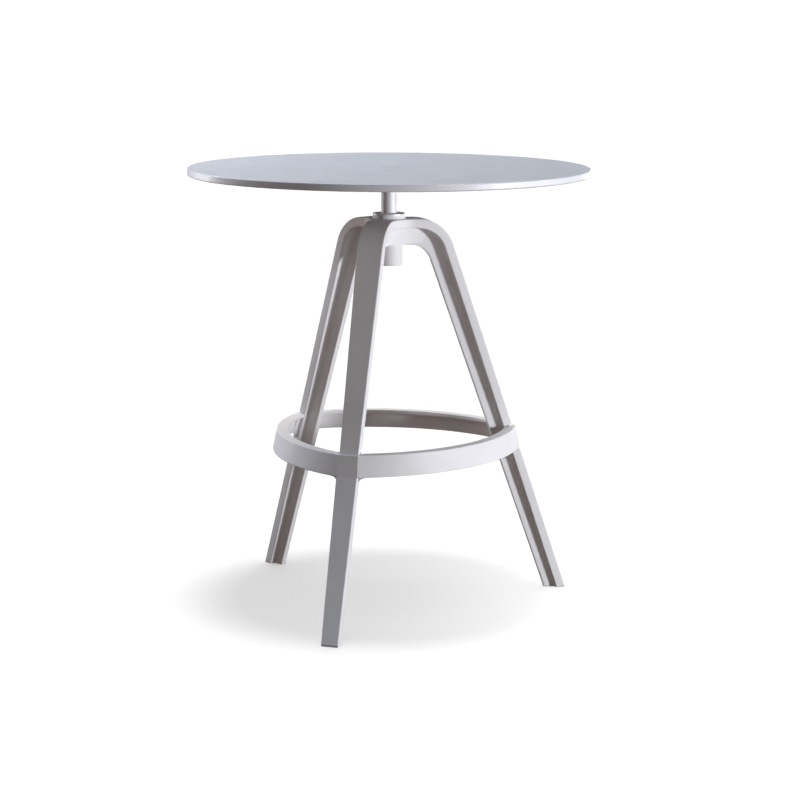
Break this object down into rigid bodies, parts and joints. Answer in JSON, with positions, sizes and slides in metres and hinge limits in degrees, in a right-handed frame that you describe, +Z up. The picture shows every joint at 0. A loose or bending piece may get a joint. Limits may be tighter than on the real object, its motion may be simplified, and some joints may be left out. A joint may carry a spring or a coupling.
{
  "type": "round dining table",
  "caption": "Round dining table: a thin board on a turning steel spindle, carried by a moulded tripod of T-section legs that arch out of a hub and are tied by a ring.",
  "frame": {"origin": "on the floor, on the axis of the spindle, which is the centre of the round board", "axes": "+Z up along the spindle, +X towards the right leg of the picture, +Y by the right-hand rule"},
  "size_m": [0.69, 0.69, 0.76],
  "materials": {
    "board": "satin",
    "frame_plastic": "satin",
    "glide_plastic": "matt",
    "bush_plastic": "matt",
    "plate_paint": "satin",
    "spindle_steel": "satin",
    "ring_chrome": "polished",
    "sleeve_steel": "plain",
    "fastener_steel": "zinc plated",
    "insert_brass": "plain"
  },
  "bodies": {
    "frame": {"leg_frame": "frame_plastic", "hub_ring": "ring_chrome", "hub_sleeve": "sleeve_steel", "upper_bush": "bush_plastic", "lower_bush": "bush_plastic", "thrust_washer": "bush_plastic", "disc_spring": "fastener_steel", "boss_cap": "frame_plastic", "right_glide": "glide_plastic", "left_glide": "glide_plastic", "front_glide": "glide_plastic", "glide_screws": "fastener_steel"},
    "swivel": {"table_top": "board", "top_inserts": "insert_brass", "top_plate": "plate_paint", "plate_screws": "fastener_steel", "collar_screws": "fastener_steel", "spindle": "spindle_steel", "retaining_washer": "fastener_steel", "circlip": "fastener_steel"}
  },
  "joints": [
    {"name": "top_swivel", "type": "hinge", "parent": "frame", "child": "swivel", "pos_m": [0, 0, 0.677], "axis": [0, 0, 1], "continuous": true}
  ]
}
